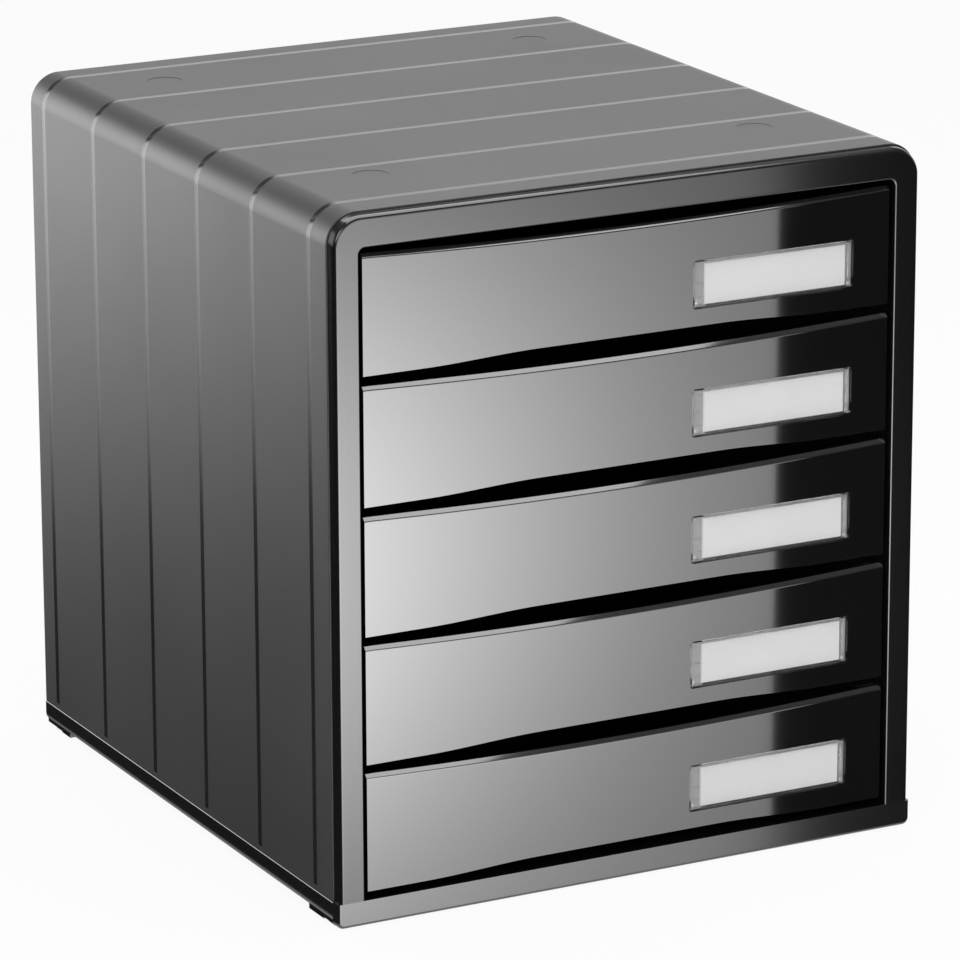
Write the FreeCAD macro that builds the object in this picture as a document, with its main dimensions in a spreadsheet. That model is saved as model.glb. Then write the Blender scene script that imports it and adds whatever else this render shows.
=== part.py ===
import FreeCAD, Part
import math
import os

import Sketcher

# Desktop drawer organizer for A4 papers.
# The frame of the model: X to the right, Y to the back, Z up, in millimetres.
# The origin lies under the middle of the unit, at the height of its resting feet.

DRAWER_COUNT = 5
SIDES = {"left": -1, "right": 1}
ENDS = ("front", "rear")

# Driving sizes, one row of the sheet each.
DRIVING = {
    # opening for the drawers and the walls around it
    "opening_width": 262,
    "stile_width": 13.2,
    "top_rail_height": 15,
    "lip_depth": 5,
    "frame_inset": 0.7,
    "tongue_depth": 11.5,
    "tongue_thickness": 2,
    "tongue_clearance": 0.2,
    "frame_edge_radius": 1.1,
    "opening_corner_radius": 1,
    # casing
    "casing_wall": 3,
    "casing_corner_radius": 14,
    "groove_width": 3.6,
    "groove_depth": 0.3,
    "first_groove_from_front": 22,
    "last_groove_from_rear": 15,
    "recess_diameter": 16,
    "recess_depth": 0.2,
    "recess_from_middle": 95,
    "recess_from_front": 61,
    "recess_from_rear": 42.5,
    # base and feet
    "foot_height": 1.2,
    "foot_length": 10,
    "foot_breadth": 12,
    "foot_from_side": 2,
    "foot_from_end": 5.6,
    "foot_corner_radius": 2.5,
    "seat_from_side": 1,
    "seat_breadth": 17,
    "seat_length": 26,
    "tab_bottom": 0.5,
    "tab_gap": 0.6,
    "base_height": 10.8,
    "base_edge_radius": 5,
    "base_plate": 3,
    "channel_width": 24,
    "channel_rib": 3.6,
    "channel_end_wall": 5,
    "rail_bottom": 0.5,
    "rail_corner": 3.2,
    "rail_edge_radius": 1.6,
    # back panel
    "back_thickness": 2.5,
    "back_field_depth": 0.8,
    "back_border": 12,
    "back_clearance": 0.2,
    # drawer fronts
    "front_height": 53.1,
    "front_thickness": 3.2,
    "front_recess": 1.5,
    "front_side_gap": 2,
    "drawer_gap": 4.5,
    "top_gap": 3.1,
    "bottom_gap": 3.4,
    "scoop_depth": 2.7,
    "scoop_end": 3,
    "arch_height": 1.8,
    "arch_inner_half": 45,
    "arch_outer_half": 100,
    "front_edge_radius": 1.1,
    # label pocket, its card and its clear window
    "label_width": 79.8,
    "label_height": 21.2,
    "label_from_side": 18.4,
    "label_from_bottom": 9.6,
    "pocket_depth": 2,
    "label_clearance": 0.3,
    "window_thickness": 1.5,
    "window_corner_radius": 1.2,
    "card_thickness": 0.4,
    "card_border_left": 6,
    "card_border_right": 3,
    "card_border_top": 1.9,
    "card_border_bottom": 1,
    # drawer trays
    "tray_inner_length": 303,
    "tray_wall": 2,
    "tray_lift": 1.2,
    "tray_top_gap": 4.9,
    "flange_width": 3.6,
    "flange_thickness": 2,
    "flange_play": 0.6,
    "tray_corner_radius": 4,
    "rear_clearance": 0.8,
    # runners and the stops that end the travel
    "runner_panel": 2,
    "ledge_thickness": 2,
    "running_clearance": 0.3,
    "ledge_to_tray": 0.8,
    "runner_front_setback": 3.5,
    "tray_left_inside": 53,
    "stop_length": 4,
    "stop_clearance": 0.5,
    "tab_width": 3,
    "tab_length": 6,
    "tab_from_rear": 14,
}

# Sizes that follow from the driving ones.
DERIVED = {
    "width": "opening_width + 2 * stile_width",
    "depth": "front_recess + front_thickness + tray_wall * 2 + tray_inner_length"
             " + rear_clearance + back_thickness",
    "base_top": "foot_height + base_height",
    "drawer_pitch": "front_height + drawer_gap",
    "drawer_bottom": "base_top + bottom_gap",
    "opening_top": f"drawer_bottom + {DRAWER_COUNT} * drawer_pitch - drawer_gap + top_gap",
    "height": "opening_top + top_rail_height",
    "front_face": "-depth / 2",
    "rear_face": "depth / 2",
    "casing_front": "front_face + lip_depth",
    "casing_half": "width / 2",
    "casing_inner_half": "casing_half - casing_wall",
    "casing_inner_radius": "casing_corner_radius - casing_wall",
    "frame_half": "casing_half - frame_inset",
    "frame_top": "height - frame_inset",
    "opening_half": "opening_width / 2",
    "tongue_half": "casing_inner_half - tongue_clearance",
    "tongue_top": "height - casing_wall - tongue_clearance",
    "front_half": "opening_half - front_side_gap",
    "tray_front": "front_face + front_recess + front_thickness",
    "tray_rear": "rear_face - back_thickness - rear_clearance",
    "tray_bottom": "arch_height + tray_lift",
    "tray_top": "front_height - scoop_depth - tray_top_gap",
    "flange_half": "opening_half - flange_play",
    "tray_half": "flange_half - flange_width",
    "runner_inner_half": "casing_inner_half - runner_panel",
    "ledge_half": "tray_half + ledge_to_tray",
    "runner_front": "casing_front + tongue_depth + runner_front_setback",
    "runner_rear": "rear_face - back_thickness",
    "runner_top": "height - casing_corner_radius",
    "lower_ledge": "tray_top - flange_thickness - running_clearance - ledge_thickness",
    "upper_ledge": "tray_top + running_clearance",
    "tab_rear": "tray_rear - tab_from_rear",
    "tab_front": "tab_rear - tab_length",
    "drawer_travel": "tray_inner_length - tray_left_inside",
    "stop_rear": "tab_front - drawer_travel - stop_clearance",
    "label_right": "front_half - label_from_side",
    "label_left": "label_right - label_width",
    "label_top": "label_from_bottom + label_height",
    "groove_span": "depth - first_groove_from_front - last_groove_from_rear",
}

GROOVE_COUNT = 6
CHANNEL_COUNT = 9

doc = FreeCAD.newDocument("drawer_organizer")


def make_sheet():
    """Write the driving sizes as numbers and the derived ones as formulas."""
    sheet = doc.addObject("Spreadsheet::Sheet", "sizes")
    rows = [(name, str(value)) for name, value in DRIVING.items()]
    rows += [(name, "=" + formula) for name, formula in DERIVED.items()]
    for row, (name, content) in enumerate(rows, start=1):
        sheet.set(f"A{row}", name)
        sheet.set(f"B{row}", content)
        sheet.setAlias(f"B{row}", name)
    doc.recompute()
    return sheet


sheet = make_sheet()
SIZE_NAMES = sorted(list(DRIVING) + list(DERIVED), key=len, reverse=True)


def bound(expression):
    """Turn plain size names in an expression into references to the sheet."""
    words = []
    word = ""
    for letter in expression + " ":
        if letter.isalnum() or letter == "_":
            word += letter
            continue
        if word in SIZE_NAMES:
            word = "sizes." + word
        words.append(word + letter)
        word = ""
    return "".join(words).strip()


def value(expression):
    """The number that an expression of size names gives."""
    return float(sheet.evalExpression(bound(expression)))


def near(one, other):
    return abs(one - other) < 0.01


def new_body(label):
    body = doc.addObject("PartDesign::Body", label)
    body.Label = label
    return body


def origin_part(body, role):
    return [part for part in body.Origin.OriginFeatures if part.Role == role][0]


def new_sketch(body, name, plane, offset):
    """A sketch on one of the body's own origin planes, shifted along its normal."""
    sketch = body.newObject("Sketcher::SketchObject", name)
    sketch.AttachmentSupport = [(origin_part(body, plane), "")]
    sketch.MapMode = "FlatFace"
    sketch.setExpression("AttachmentOffset.Base.z", bound(offset))
    return sketch


def pin_point(sketch, geometry, end, corner):
    """Fix one end of an edge to the corner's two expressions."""
    for kind, expression in zip(("DistanceX", "DistanceY"), corner):
        rule = Sketcher.Constraint(kind, -1, 1, geometry, end, value(expression))
        index = sketch.addConstraint(rule)
        name = f"{kind[-1].lower()}_{geometry}_{end}"
        sketch.renameConstraint(index, name)
        sketch.setExpression("Constraints." + name, bound(expression))


def outline(sketch, corners):
    """A closed outline through corners, each (across, up) or (across, up, radius).

    A corner with a radius joins a level edge and an upright one."""
    spots = [(value(corner[0]), value(corner[1])) for corner in corners]
    count = len(corners)
    first = sketch.GeometryCount

    def leave(index, step):
        """The corner's end of the edge towards the next (step 1) or previous (step -1) one."""
        corner = corners[index]
        if len(corner) < 3:
            return corner[:2]
        here, there = spots[index], spots[(index + step) % count]
        if near(here[1], there[1]):
            sign = "+" if there[0] > here[0] else "-"
            return f"{corner[0]} {sign} ({corner[2]})", corner[1]
        sign = "+" if there[1] > here[1] else "-"
        return corner[0], f"{corner[1]} {sign} ({corner[2]})"

    def point(place):
        return FreeCAD.Vector(value(place[0]), value(place[1]), 0)

    for index in range(count):
        following = (index + 1) % count
        start, end = leave(index, 1), leave(following, -1)
        sketch.addGeometry(Part.LineSegment(point(start), point(end)))
        pin_point(sketch, first + index, 1, start)
        if len(corners[following]) == 3:
            pin_point(sketch, first + index, 2, end)
    for index, corner in enumerate(corners):
        before, after = first + (index - 1) % count, first + index
        if len(corner) < 3:
            sketch.addConstraint(Sketcher.Constraint("Coincident", before, 2, after, 1))
            continue
        start, end = point(leave(index, -1)), point(leave(index, 1))
        centre = start + end - FreeCAD.Vector(*spots[index], 0)
        circle_shape = Part.Circle(centre, FreeCAD.Vector(0, 0, 1), value(corner[2]))
        ends = [(before, 2, start), (after, 1, end)]
        if (start - centre).cross(end - centre).z < 0:
            ends.reverse()
        angle = math.atan2(ends[0][2].y - centre.y, ends[0][2].x - centre.x)
        arc = sketch.addGeometry(Part.ArcOfCircle(circle_shape, angle, angle + math.pi / 2))
        sketch.addConstraint(Sketcher.Constraint("Coincident", ends[0][0], ends[0][1], arc, 1))
        sketch.addConstraint(Sketcher.Constraint("Coincident", ends[1][0], ends[1][1], arc, 2))
        rule = sketch.addConstraint(Sketcher.Constraint("Radius", arc, value(corner[2])))
        sketch.renameConstraint(rule, f"radius_{arc}")
        sketch.setExpression(f"Constraints.radius_{arc}", bound(corner[2]))


def rectangle(sketch, left, right, low, high):
    outline(sketch, [(left, low), (right, low), (right, high), (left, high)])


def rounded(sketch, left, right, low, high, radius):
    outline(sketch, [(left, low, radius), (right, low, radius),
                     (right, high, radius), (left, high, radius)])


def arch(sketch, low, outer, inner):
    """An inverted U from the height low; outer and inner are each half width, top, radius."""
    half, top, radius = outer
    inner_half, inner_top, inner_radius = inner
    outline(sketch, [
        (half, low), (half, top, radius), (f"-({half})", top, radius), (f"-({half})", low),
        (f"-({inner_half})", low), (f"-({inner_half})", inner_top, inner_radius),
        (inner_half, inner_top, inner_radius), (inner_half, low),
    ])


def circle(sketch, across, up, diameter):
    centre = FreeCAD.Vector(value(across), value(up), 0)
    index = sketch.addGeometry(Part.Circle(centre, FreeCAD.Vector(0, 0, 1), value(diameter) / 2))
    pin_point(sketch, index, 3, (across, up))
    rule = sketch.addConstraint(Sketcher.Constraint("Diameter", index, value(diameter)))
    name = f"diameter_{index}"
    sketch.renameConstraint(rule, name)
    sketch.setExpression("Constraints." + name, bound(diameter))


def pad(body, sketch, name, length, backwards=False):
    feature = body.newObject("PartDesign::Pad", name)
    feature.Profile = sketch
    feature.setExpression("Length", bound(length))
    feature.Reversed = backwards
    doc.recompute()
    return feature


def pocket(body, sketch, name, length, backwards=False):
    """Cut the sketch into the body, and stop where nothing is cut."""
    before = body.Shape.Volume
    feature = body.newObject("PartDesign::Pocket", name)
    feature.Profile = sketch
    feature.setExpression("Length", bound(length))
    feature.Reversed = backwards
    doc.recompute()
    if body.Shape.Volume >= before:
        raise RuntimeError(f"{body.Label}: {name} cuts nothing")
    return feature


def edges_where(body, test):
    """Names of the tip's edges whose middle point passes the test."""
    names = []
    for index, edge in enumerate(body.Tip.Shape.Edges, start=1):
        middle = edge.valueAt((edge.FirstParameter + edge.LastParameter) / 2)
        if test(edge, middle):
            names.append(f"Edge{index}")
    if not names:
        raise RuntimeError(f"{body.Label}: no edge to round")
    return names


def dress(body, kind, name, amount, test):
    """Round or chamfer the edges that pass the test."""
    base = body.Tip
    names = edges_where(body, test)
    feature = body.newObject("PartDesign::" + kind, name)
    feature.Base = (base, names)
    feature.setExpression("Radius" if kind == "Fillet" else "Size", bound(amount))
    doc.recompute()
    return feature


def repeat(body, feature, name, role, spacing, count):
    """A row of copies of a feature along one of the body's own axes."""
    pattern = body.newObject("PartDesign::LinearPattern", name)
    pattern.Originals = [feature]
    pattern.Direction = (origin_part(body, role), [""])
    pattern.Mode = "Spacing"
    pattern.setExpression("Offset", bound(spacing))
    pattern.Occurrences = count
    body.Tip = pattern
    doc.recompute()
    return pattern


# Casing: an inverted U of one wall, with shallow grooves that wrap its sides and top,
# and four faint round recesses in the top.
def make_casing():
    body = new_body("casing")
    outer = ("casing_half", "height", "casing_corner_radius")
    inner = ("casing_inner_half", "height - casing_wall", "casing_inner_radius")
    shell = new_sketch(body, "casing_outline", "XZ_Plane", "-casing_front")
    arch(shell, "base_top", outer, inner)
    pad(body, shell, "casing_shell", "rear_face - casing_front", backwards=True)

    floor = ("casing_half - groove_depth", "height - groove_depth",
             "casing_corner_radius - groove_depth")
    band = new_sketch(body, "groove_outline", "XZ_Plane",
                      "-(front_face + first_groove_from_front - groove_width / 2)")
    arch(band, "base_top", outer, floor)
    groove = pocket(body, band, "groove", "groove_width")
    repeat(body, groove, "grooves", "Y_Axis", f"groove_span / {GROOVE_COUNT - 1}", GROOVE_COUNT)

    recess = new_sketch(body, "stacking_outline", "XY_Plane", "height")
    for side in SIDES.values():
        circle(recess, f"{side} * recess_from_middle", "front_face + recess_from_front",
               "recess_diameter")
        circle(recess, f"{side} * recess_from_middle", "rear_face - recess_from_rear",
               "recess_diameter")
    pocket(body, recess, "stacking_recesses", "recess_depth")
    return body


# Front frame: the glossy surround of the opening, with a tongue that reaches into the casing.
def make_front_frame():
    body = new_body("front_frame")
    outer = ("frame_half", "frame_top", "casing_corner_radius - frame_inset")
    opening = ("opening_half", "opening_top", "opening_corner_radius")
    face = new_sketch(body, "frame_outline", "XZ_Plane", "-front_face")
    arch(face, "base_top", outer, opening)
    pad(body, face, "frame_lip", "lip_depth", backwards=True)
    front = value("front_face")
    dress(body, "Fillet", "frame_edges", "frame_edge_radius",
          lambda edge, middle: near(middle.y, front) and middle.z > value("base_top") + 1)

    sleeve = new_sketch(body, "tongue_outline", "XZ_Plane", "-casing_front")
    tongue = ("tongue_half", "tongue_top", "casing_inner_radius - tongue_clearance")
    bore = ("tongue_half - tongue_thickness", "tongue_top - tongue_thickness",
            "casing_inner_radius - tongue_clearance - tongue_thickness")
    arch(sleeve, "base_top", tongue, bore)
    pad(body, sleeve, "frame_tongue", "tongue_depth", backwards=True)
    return body


def strip_inside(sign, near_edge, far_edge):
    """Left and right of a strip between two distances inside one side of the casing."""
    outer = f"{sign} * (casing_half - ({near_edge}))"
    inner = f"{sign} * (casing_half - ({far_edge}))"
    return (outer, inner) if sign < 0 else (inner, outer)


def add_foot_seats(body):
    """A flat seat for a foot under each corner of the base, and a low tab beside the foot."""
    past_foot = "foot_from_end + foot_length + tab_gap"
    spans = [
        ("casing_front", "casing_front + seat_length", f"front_face + {past_foot}",
         "casing_front + seat_length"),
        ("rear_face - seat_length", "rear_face", "rear_face - seat_length",
         f"rear_face - ({past_foot})"),
    ]
    seats = new_sketch(body, "foot_seats_outline", "XY_Plane", "foot_height")
    tabs = new_sketch(body, "foot_tabs_outline", "XY_Plane", "tab_bottom")
    for sign in SIDES.values():
        seat = strip_inside(sign, "seat_from_side", "seat_from_side + seat_breadth")
        tab = strip_inside(sign, "seat_from_side", "foot_from_side + foot_breadth")
        for seat_start, seat_end, tab_start, tab_end in spans:
            rectangle(seats, *seat, seat_start, seat_end)
            rectangle(tabs, *tab, tab_start, tab_end)
    pad(body, seats, "foot_seats", "base_edge_radius")
    pad(body, tabs, "foot_tabs", "foot_height - tab_bottom + 1")


# Base: the floor under the casing, its glossy front rail, the seats for the feet
# and lengthwise channels below.
def make_base():
    body = new_body("base")
    section = new_sketch(body, "base_outline", "XZ_Plane", "-casing_front")
    outline(section, [
        ("-casing_half", "foot_height", "base_edge_radius"),
        ("casing_half", "foot_height", "base_edge_radius"),
        ("casing_half", "base_top"),
        ("-casing_half", "base_top"),
    ])
    pad(body, section, "base_slab", "rear_face - casing_front", backwards=True)

    rail = new_sketch(body, "rail_outline", "XZ_Plane", "-front_face")
    outline(rail, [
        ("-casing_half", "rail_bottom", "rail_corner"),
        ("casing_half", "rail_bottom", "rail_corner"),
        ("casing_half", "base_top"),
        ("-casing_half", "base_top"),
    ])
    pad(body, rail, "front_rail", "lip_depth", backwards=True)
    front = value("front_face")
    dress(body, "Fillet", "rail_edge", "rail_edge_radius",
          lambda edge, middle: near(middle.y, front) and middle.z < value("base_top") - 1)
    add_foot_seats(body)

    channel = new_sketch(body, "channel_outline", "XY_Plane", "foot_height")
    row = f"({CHANNEL_COUNT} * channel_width + {CHANNEL_COUNT - 1} * channel_rib)"
    rectangle(channel, f"-{row} / 2", f"-{row} / 2 + channel_width",
              "casing_front + channel_end_wall", "rear_face - channel_end_wall")
    cut = pocket(body, channel, "channel", "base_height - base_plate", backwards=True)
    repeat(body, cut, "channels", "X_Axis", "channel_width + channel_rib", CHANNEL_COUNT)
    return body


# Back panel: a plate set into the rear of the casing, its middle field a little thinner.
def make_back_panel():
    body = new_body("back_panel")
    half = "casing_inner_half - back_clearance"
    top = "height - casing_wall - back_clearance"
    radius = "casing_inner_radius - back_clearance"
    plate = new_sketch(body, "back_outline", "XZ_Plane", "-(rear_face - back_thickness)")
    outline(plate, [(f"-({half})", "base_top"), (half, "base_top"),
                    (half, top, radius), (f"-({half})", top, radius)])
    pad(body, plate, "back_plate", "back_thickness", backwards=True)
    field = new_sketch(body, "back_field_outline", "XZ_Plane", "-rear_face")
    rounded(field, f"-({half} - back_border)", f"{half} - back_border",
            "base_top + back_border", f"{top} - back_border", "tray_corner_radius")
    pocket(body, field, "back_field", "back_field_depth", backwards=True)
    return body


# Feet: four small clear pads under the corners of the base.
def make_foot(end, side):
    body = new_body(f"foot_{end}_{side}")
    left, right = strip_inside(SIDES[side], "foot_from_side", "foot_from_side + foot_breadth")
    near_edge = "front_face + foot_from_end"
    if end == "rear":
        near_edge = "rear_face - foot_from_end - foot_length"
    pad_outline = new_sketch(body, "foot_outline", "XY_Plane", "0")
    rounded(pad_outline, left, right, near_edge, f"{near_edge} + foot_length",
            "foot_corner_radius")
    pad(body, pad_outline, "foot_pad", "foot_height")
    return body


# Runners: one panel inside each side, with a lower and an upper ledge for every drawer
# and a stop block near the front that ends the drawer's travel.
def drawer_floor(number):
    """The height of a drawer front's lower edge; drawer 1 is the top one."""
    return f"drawer_bottom + {DRAWER_COUNT - number} * drawer_pitch"


def make_runner(side):
    body = new_body(f"runner_{side}")
    sign = SIDES[side]

    def span(near_half, far_half):
        ends = [f"{sign} * ({near_half})", f"{sign} * ({far_half})"]
        return ends if sign > 0 else ends[::-1]

    length = "runner_rear - runner_front"
    panel = new_sketch(body, "panel_outline", "XZ_Plane", "-runner_front")
    rectangle(panel, *span("runner_inner_half", "casing_inner_half"), "base_top", "runner_top")
    pad(body, panel, "panel", length, backwards=True)
    ledges = new_sketch(body, "ledge_outline", "XZ_Plane", "-runner_front")
    blocks = new_sketch(body, "stop_outline", "XZ_Plane", "-(stop_rear - stop_length)")
    for number in range(1, DRAWER_COUNT + 1):
        floor = drawer_floor(number)
        inside = span("ledge_half", "runner_inner_half")
        rectangle(ledges, *inside, f"{floor} + lower_ledge",
                  f"{floor} + lower_ledge + ledge_thickness")
        rectangle(ledges, *inside, f"{floor} + upper_ledge",
                  f"{floor} + upper_ledge + ledge_thickness")
        rectangle(blocks, *span("opening_half", "runner_inner_half"),
                  f"{floor} + lower_ledge + ledge_thickness", f"{floor} + upper_ledge")
    pad(body, ledges, "ledges", length, backwards=True)
    pad(body, blocks, "stop_blocks", "stop_length", backwards=True)
    return body


def place_drawer_piece(body, number):
    """Raise a piece that was drawn with its drawer's lower edge at zero."""
    body.setExpression("Placement.Base.z", bound(drawer_floor(number)))
    return body


# Drawer tray: an open box with a flange along each side that slides between the ledges,
# and a tab near the rear of each flange that meets the runner's stop block.
def make_tray(number):
    body = new_body(f"drawer_tray_{number}")
    box = new_sketch(body, "tray_outline", "XY_Plane", "tray_bottom")
    rounded(box, "-tray_half", "tray_half", "tray_front", "tray_rear", "tray_corner_radius")
    pad(body, box, "tray_box", "tray_top - tray_bottom")
    hollow = new_sketch(body, "tray_hollow_outline", "XY_Plane", "tray_top")
    rounded(hollow, "-tray_half + tray_wall", "tray_half - tray_wall",
            "tray_front + tray_wall", "tray_rear - tray_wall",
            "tray_corner_radius - tray_wall")
    pocket(body, hollow, "tray_hollow", "tray_top - tray_bottom - tray_wall")

    flanges = new_sketch(body, "flange_outline", "XY_Plane", "tray_top - flange_thickness")
    start, end = "tray_front + tray_corner_radius", "tray_rear - tray_corner_radius"
    for sign in SIDES.values():
        inner = f"{sign} * (tray_half - tray_wall / 2)"
        outline(flanges, [
            (inner, start), (f"{sign} * flange_half", start),
            (f"{sign} * flange_half", "tab_front"),
            (f"{sign} * (flange_half + tab_width)", "tab_front"),
            (f"{sign} * (flange_half + tab_width)", "tab_rear"),
            (f"{sign} * flange_half", "tab_rear"), (f"{sign} * flange_half", end),
            (inner, end),
        ])
    pad(body, flanges, "flanges", "flange_thickness")
    return place_drawer_piece(body, number)


# Drawer front: a glossy plate with a scooped top edge, an arched bottom edge for the
# fingers and a shallow pocket for the label.
def make_front(number):
    body = new_body(f"drawer_front_{number}")
    face = "front_face + front_recess"
    plate = new_sketch(body, "front_outline", "XZ_Plane", f"-({face})")
    lower = [
        ("-front_half", "0"), ("-arch_outer_half", "0"), ("-arch_inner_half", "arch_height"),
        ("arch_inner_half", "arch_height"), ("arch_outer_half", "0"), ("front_half", "0"),
        ("front_half", "front_height"), ("front_half - scoop_end", "front_height"),
    ]
    points = [FreeCAD.Vector(value(across), value(up), 0) for across, up in lower]
    for index in range(len(points) - 1):
        plate.addGeometry(Part.LineSegment(points[index], points[index + 1]))
        pin_point(plate, index, 1, lower[index])
        if index:
            plate.addConstraint(Sketcher.Constraint("Coincident", index - 1, 2, index, 1))
    last = len(points) - 2
    pin_point(plate, last, 2, lower[-1])
    left_end = FreeCAD.Vector(-points[-1].x, points[-1].y, 0)
    deepest = ("0", "front_height - scoop_depth")
    bottom = FreeCAD.Vector(0, value(deepest[1]), 0)
    scoop = plate.addGeometry(Part.Arc(left_end, bottom, points[-1]))
    lip = plate.addGeometry(Part.LineSegment(left_end, FreeCAD.Vector(-points[-2].x, left_end.y, 0)))
    edge = plate.addGeometry(Part.LineSegment(FreeCAD.Vector(-points[-2].x, left_end.y, 0), points[0]))
    pin_point(plate, lip, 1, ("-(front_half - scoop_end)", "front_height"))
    pin_point(plate, lip, 2, ("-front_half", "front_height"))
    plate.addConstraint(Sketcher.Constraint("Coincident", last, 2, scoop, 2))
    plate.addConstraint(Sketcher.Constraint("Coincident", lip, 1, scoop, 1))
    plate.addConstraint(Sketcher.Constraint("Coincident", lip, 2, edge, 1))
    plate.addConstraint(Sketcher.Constraint("Coincident", edge, 2, 0, 1))
    chord = "(front_half - scoop_end)"
    radius = f"({chord} * {chord} + scoop_depth * scoop_depth) / (2 * scoop_depth)"
    rule = plate.addConstraint(Sketcher.Constraint("Radius", scoop, value(radius)))
    plate.renameConstraint(rule, "scoop_radius")
    plate.setExpression("Constraints.scoop_radius", bound(radius))
    pad(body, plate, "front_plate", "front_thickness", backwards=True)
    front = value(face)
    dress(body, "Fillet", "front_edges", "front_edge_radius",
          lambda edge, middle: near(middle.y, front))
    label = new_sketch(body, "label_outline", "XZ_Plane", f"-({face})")
    rounded(label, "label_left - label_clearance", "label_right + label_clearance",
            "label_from_bottom - label_clearance", "label_top + label_clearance",
            "window_corner_radius")
    pocket(body, label, "label_pocket", "pocket_depth")
    return place_drawer_piece(body, number)


# Label card: a strip of paper against the floor of the pocket.
def make_card(number):
    body = new_body(f"label_card_{number}")
    floor = "front_face + front_recess + pocket_depth"
    strip = new_sketch(body, "card_outline", "XZ_Plane", f"-({floor} - card_thickness)")
    rectangle(strip, "label_left + card_border_left", "label_right - card_border_right",
              "label_from_bottom + card_border_bottom", "label_top - card_border_top")
    pad(body, strip, "card", "card_thickness", backwards=True)
    return place_drawer_piece(body, number)


# Label window: a clear cover over the card, hollowed behind so that the card fits under it.
def make_window(number):
    body = new_body(f"label_window_{number}")
    floor = "front_face + front_recess + pocket_depth"
    cover = new_sketch(body, "window_outline", "XZ_Plane", f"-({floor} - window_thickness)")
    rounded(cover, "label_left", "label_right", "label_from_bottom", "label_top",
            "window_corner_radius")
    pad(body, cover, "cover", "window_thickness", backwards=True)
    back = new_sketch(body, "card_space_outline", "XZ_Plane", f"-({floor})")
    slack = "label_clearance"
    rectangle(back, f"label_left + card_border_left - {slack}",
              f"label_right - card_border_right + {slack}",
              f"label_from_bottom + card_border_bottom - {slack}",
              f"label_top - card_border_top + {slack}")
    pocket(body, back, "card_space", "card_thickness + 0.1", backwards=True)
    return place_drawer_piece(body, number)


pieces = [make_casing(), make_front_frame(), make_base(), make_back_panel()]
pieces += [make_runner(side) for side in SIDES]
pieces += [make_foot(end, side) for end in ENDS for side in SIDES]
for number in range(1, DRAWER_COUNT + 1):
    pieces += [make_tray(number), make_front(number), make_card(number), make_window(number)]

doc.recompute()

for thing in doc.Objects:
    if {"Invalid", "Error"} & set(thing.State):
        raise RuntimeError(f"{thing.Label} failed: {thing.State}")
for piece in pieces:
    if piece.Shape.isNull() or not piece.Shape.isValid():
        raise RuntimeError(f"{piece.Label} has no valid shape")

os.makedirs("parts", exist_ok=True)
for piece in pieces:
    piece.Shape.exportStep(os.path.join("parts", piece.Label + ".step"))
    box = piece.Shape.BoundBox
    print(f"{piece.Label}: {len(piece.Shape.Solids)} solid, {piece.Shape.Volume:.0f} mm3,"
          f" z {box.ZMin:.1f} to {box.ZMax:.1f}")
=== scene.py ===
# %% [markdown]
# # A desktop drawer organizer
#
# This lesson dresses a drawer unit for A4 papers: a satin casing with grooves round it, a glossy
# front frame and base rail, and five glossy drawer fronts with label windows. The construction
# model gives every size, and each piece made here stands in the place of one of its nodes.

import math

import bmesh
import bpy
from mathutils import Matrix, Vector


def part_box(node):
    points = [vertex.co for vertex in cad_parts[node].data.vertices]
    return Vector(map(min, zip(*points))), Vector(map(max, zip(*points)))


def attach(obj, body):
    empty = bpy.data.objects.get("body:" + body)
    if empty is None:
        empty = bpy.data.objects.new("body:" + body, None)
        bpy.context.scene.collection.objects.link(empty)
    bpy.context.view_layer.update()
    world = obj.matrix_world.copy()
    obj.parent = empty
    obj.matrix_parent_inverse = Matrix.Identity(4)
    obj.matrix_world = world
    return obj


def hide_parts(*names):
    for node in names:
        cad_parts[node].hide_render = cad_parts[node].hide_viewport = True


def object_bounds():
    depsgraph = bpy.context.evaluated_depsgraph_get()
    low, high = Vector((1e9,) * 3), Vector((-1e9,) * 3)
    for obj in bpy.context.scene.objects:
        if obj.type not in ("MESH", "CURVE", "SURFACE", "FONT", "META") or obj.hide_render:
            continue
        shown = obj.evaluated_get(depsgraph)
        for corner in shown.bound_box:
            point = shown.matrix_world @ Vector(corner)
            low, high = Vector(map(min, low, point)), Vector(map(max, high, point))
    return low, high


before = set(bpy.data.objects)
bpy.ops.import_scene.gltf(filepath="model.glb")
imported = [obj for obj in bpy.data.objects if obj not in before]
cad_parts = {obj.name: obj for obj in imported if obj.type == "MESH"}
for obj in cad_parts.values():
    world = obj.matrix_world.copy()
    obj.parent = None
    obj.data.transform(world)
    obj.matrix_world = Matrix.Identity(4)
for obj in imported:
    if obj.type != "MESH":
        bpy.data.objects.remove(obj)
CAD_LOW, CAD_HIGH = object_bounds()
DRAWERS = [f"drawer_{number}" for number in range(1, 6)]
print("frame box", tuple(round(v, 4) for v in CAD_HIGH - CAD_LOW))

# %% [markdown]
# ## The camera
#
# The photograph looks at the unit's left front corner from a little above, through a long lens.
# A camera is easiest to set up as a person would do it: a point to aim at, a direction to stand
# in, a distance and a lens. A small tilt about the line of sight levels the picture.

# %% Camera
AIM = Vector((-0.0310, -0.0741, 0.1658))
STAND_AZIMUTH = math.radians(-27.56)
STAND_ELEVATION = math.radians(16.40)
STAND_DISTANCE = 2.55
LENS = 215.35
ROLL = math.radians(-0.19)

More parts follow.
